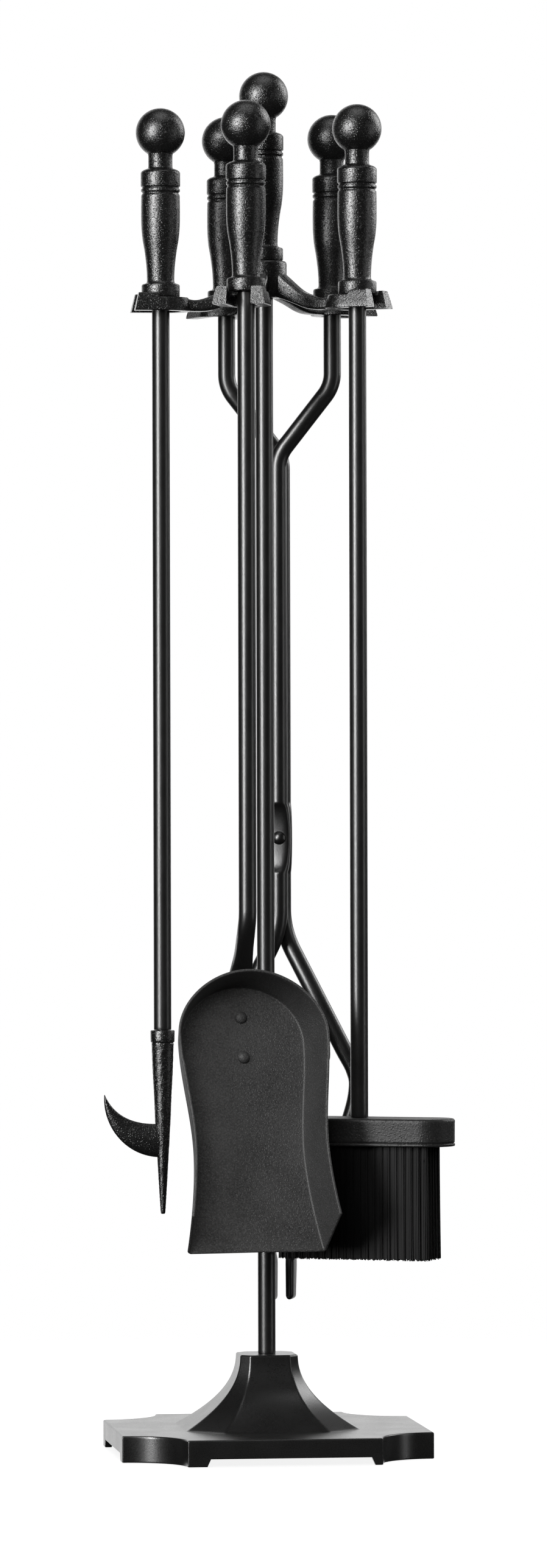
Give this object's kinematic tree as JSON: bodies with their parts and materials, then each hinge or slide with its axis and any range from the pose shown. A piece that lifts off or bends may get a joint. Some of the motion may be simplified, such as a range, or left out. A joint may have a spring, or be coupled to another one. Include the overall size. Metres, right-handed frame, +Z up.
{
  "type": "fireplace tool set",
  "caption": "Black companion set: cast stand with ball finial holding a poker with curved spur, an ash shovel, a hearth brush and scissor log tongs, all with turned ball handles.",
  "frame": {"origin": "centre of the bounding box at the floor; the pole stands 4 mm to the -X side and 7.2 mm behind it", "axes": "+Z up, -Y towards the shovel and the front of the base, -X towards the poker"},
  "size_m": [0.1939, 0.1914, 0.7878],
  "materials": {
    "base_paint": "satin black paint",
    "cast_paint": "gloss black paint over a speckled casting",
    "rod_paint": "satin black paint with a fine grain",
    "sheet_paint": "matt textured black powder coat",
    "fastener_steel": "plain steel",
    "block_plastic": "matt speckled black",
    "bristle_fibre": "black synthetic fibre"
  },
  "bodies": {
    "stand": {"base_casting": "base_paint", "base_bolt": "fastener_steel", "base_washer": "fastener_steel", "pole": "rod_paint", "tool_hanger": "cast_paint", "top_stud": "fastener_steel", "stand_finial": "cast_paint"},
    "poker": {"poker_handle": "cast_paint", "poker_rod": "rod_paint", "poker_tip": "cast_paint"},
    "shovel": {"shovel_handle": "cast_paint", "shovel_rod": "rod_paint", "shovel_pan": "sheet_paint", "shovel_rivet_upper": "sheet_paint", "shovel_rivet_lower": "sheet_paint"},
    "brush": {"brush_handle": "cast_paint", "brush_rod": "rod_paint", "brush_block": "block_plastic", "brush_nut": "fastener_steel", "brush_bristles": "bristle_fibre"},
    "tongs_right_arm": {"tongs_handle_right": "cast_paint", "tongs_arm_right_handle": "rod_paint", "tongs_rivet": "rod_paint"},
    "tongs_left_arm": {"tongs_handle_left": "cast_paint", "tongs_arm_left_handle": "rod_paint"}
  },
  "joints": [
    {"name": "poker_lift", "type": "slide", "parent": "stand", "child": "poker", "axis": [-0.2588, 0, 0.9659], "range_m": [0, 0.25]},
    {"name": "shovel_lift", "type": "slide", "parent": "stand", "child": "shovel", "axis": [-0.08, -0.2461, 0.9659], "range_m": [0, 0.25]},
    {"name": "brush_lift", "type": "slide", "parent": "stand", "child": "brush", "axis": [0.52, -0.3778, 0.766], "range_m": [0, 0.2]},
    {"name": "tongs_lift", "type": "slide", "parent": "stand", "child": "tongs_right_arm", "axis": [0.464, 0.3371, 0.8192], "range_m": [0, 0.15]},
    {"name": "tongs_open", "type": "hinge", "parent": "tongs_right_arm", "child": "tongs_left_arm", "pos_m": [0.00988, 0.0499, 0.3503], "axis": [-0.309, -0.9511, 0], "range_deg": [0, 21]}
  ],
  "couplings": [
    {"joint": "tongs_open", "follows": "tongs_lift", "rad_per_m": 2.4}
  ]
}
